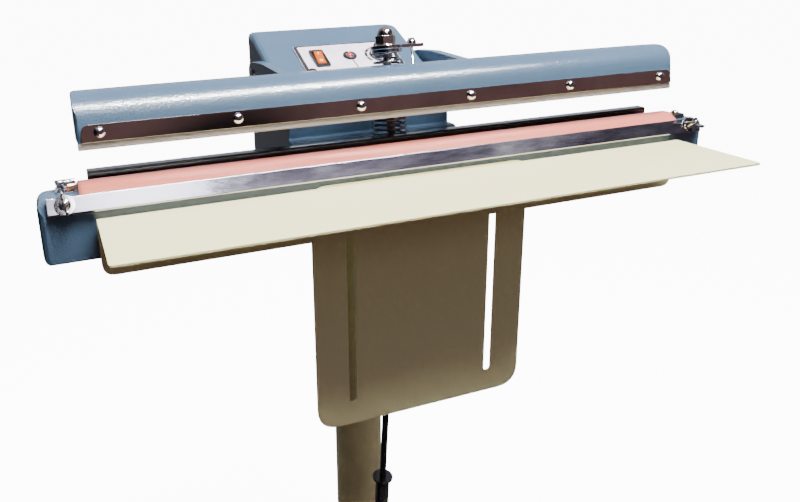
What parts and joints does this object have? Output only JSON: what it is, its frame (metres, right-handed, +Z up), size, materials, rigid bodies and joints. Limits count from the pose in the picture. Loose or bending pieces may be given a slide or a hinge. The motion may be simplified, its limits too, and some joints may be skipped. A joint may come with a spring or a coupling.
{
  "type": "impulse heat sealer",
  "caption": "Foot-operated impulse heat sealer on a pipe stand: sprung upper jaw over a cloth-covered seal bar, pull rod and pedal, work table and control box.",
  "frame": {"origin": "on the floor, at the centre of the footprint box", "axes": "+Z up, +X along the seal towards the timer knob, +Y from the work table towards the control box"},
  "size_m": [0.698, 0.44, 0.9642],
  "materials": {
    "hammertone_paint": "hammered gloss",
    "cream_paint": "smooth gloss",
    "black_paint": "gloss",
    "chrome_plate": "mirror",
    "polished_aluminium": "polished",
    "bright_steel": "drawn",
    "silicone_rubber": "matt",
    "ptfe_cloth": "satin weave",
    "black_rubber": "matt",
    "label_film": "satin",
    "black_plastic": "satin",
    "orange_plastic": "gloss, translucent",
    "red_lens": "gloss",
    "copper_winding": "varnished",
    "circuit_board": "satin"
  },
  "bodies": {
    "stand": {"seal_beam": "hammertone_paint", "control_housing": "hammertone_paint", "base_leg_left": "cream_paint", "base_leg_right": "cream_paint", "base_crossbar": "cream_paint", "column": "cream_paint", "housing_floor": "cream_paint", "cloth_clamp_strip": "black_paint", "pedal_bracket": "black_paint", "hinge_pin_left": "chrome_plate", "hinge_pin_right": "chrome_plate", "front_bar": "polished_aluminium", "seal_bar": "polished_aluminium", "heating_element": "bright_steel", "element_tensioner": "bright_steel", "return_spring": "bright_steel", "pedal_pivot_pin": "bright_steel", "table_bolt_left": "bright_steel", "table_bolt_right": "bright_steel", "release_cloth": "ptfe_cloth", "foot_front_left": "black_rubber", "foot_front_right": "black_rubber", "foot_rear_left": "black_rubber", "foot_rear_right": "black_rubber", "label_plate": "label_film", "switch_body": "black_plastic", "terminal_block": "black_plastic", "cord_gland": "black_plastic", "pilot_lamp": "red_lens", "transformer": "copper_winding", "timer_module": "circuit_board"},
    "jaw": {"upper_jaw": "hammertone_paint", "jaw_arm_left": "hammertone_paint", "jaw_arm_right": "hammertone_paint", "chrome_strip": "chrome_plate", "strip_screw_1": "chrome_plate", "strip_screw_2": "chrome_plate", "strip_screw_3": "chrome_plate", "strip_screw_4": "chrome_plate", "strip_screw_5": "chrome_plate", "strip_screw_6": "chrome_plate", "silicone_strip": "silicone_rubber", "microswitch": "black_plastic", "pressure_spring": "chrome_plate"},
    "rod": {"upper_rod": "bright_steel", "contact_plate": "chrome_plate", "acorn_nut": "chrome_plate", "adjusting_screw": "chrome_plate"},
    "pull_link": {"pull_rod": "black_paint", "rod_adjuster": "black_paint"},
    "pedal": {"pedal_arm_left": "black_paint", "pedal_arm_right": "black_paint", "link_pin": "bright_steel", "foot_plate": "black_paint"},
    "table": {"work_table": "cream_paint", "slotted_plate": "cream_paint"},
    "rocker": {"power_rocker": "orange_plastic"},
    "knob": {"timer_knob": "black_plastic"},
    "left_wing_nut": {"wing_nut_left": "chrome_plate"},
    "right_wing_nut": {"wing_nut_right": "chrome_plate"}
  },
  "joints": [
    {"name": "jaw_hinge", "type": "hinge", "parent": "stand", "child": "jaw", "pos_m": [0, 0.125, 0.905], "axis": [1, 0, 0], "range_deg": [0, 8.2], "stiffness_Nm_per_rad": 22, "springref_deg": -34.38, "deforming": ["return_spring"]},
    {"name": "rod_slide", "type": "slide", "parent": "jaw", "child": "rod", "axis": [0, 0.1426, 0.9898], "range_m": [-0.006, 0], "stiffness_N_per_m": 15000, "springref_m": 0.0015, "deforming": ["pressure_spring"]},
    {"name": "link_pivot", "type": "hinge", "parent": "rod", "child": "pull_link", "pos_m": [0, -0.02081, 0.78497], "axis": [1, 0, 0], "range_deg": [-9.8, 0.2]},
    {"name": "pedal_pivot", "type": "hinge", "parent": "stand", "child": "pedal", "pos_m": [0, 0.155, 0.075], "axis": [1, 0, 0], "range_deg": [-0.1, 11.4]},
    {"name": "table_slide", "type": "slide", "parent": "stand", "child": "table", "axis": [0, 0, 1], "range_m": [-0.015, 0]},
    {"name": "rocker_pivot", "type": "hinge", "parent": "stand", "child": "rocker", "pos_m": [-0.0325, 0.11318, 0.91868], "axis": [1, 0, 0], "range_deg": [-20, 0]},
    {"name": "knob_turn", "type": "hinge", "parent": "stand", "child": "knob", "pos_m": [0.044, 0.11227, 0.91826], "axis": [0, -0.4122, 0.9111], "range_deg": [-150, 150]},
    {"name": "left_wing_nut_turn", "type": "hinge", "parent": "stand", "child": "left_wing_nut", "pos_m": [-0.327, -0.08475, 0.8458], "axis": [0, -0.8917, 0.4527], "continuous": true},
    {"name": "right_wing_nut_turn", "type": "hinge", "parent": "stand", "child": "right_wing_nut", "pos_m": [0.327, -0.08475, 0.8458], "axis": [0, -0.8917, 0.4527], "continuous": true}
  ],
  "couplings": [
    {"joint": "link_pivot", "follows": "jaw_hinge", "ratio": -1.1844},
    {"joint": "pedal_pivot", "follows": "jaw_hinge", "ratio": 1.3769}
  ]
}
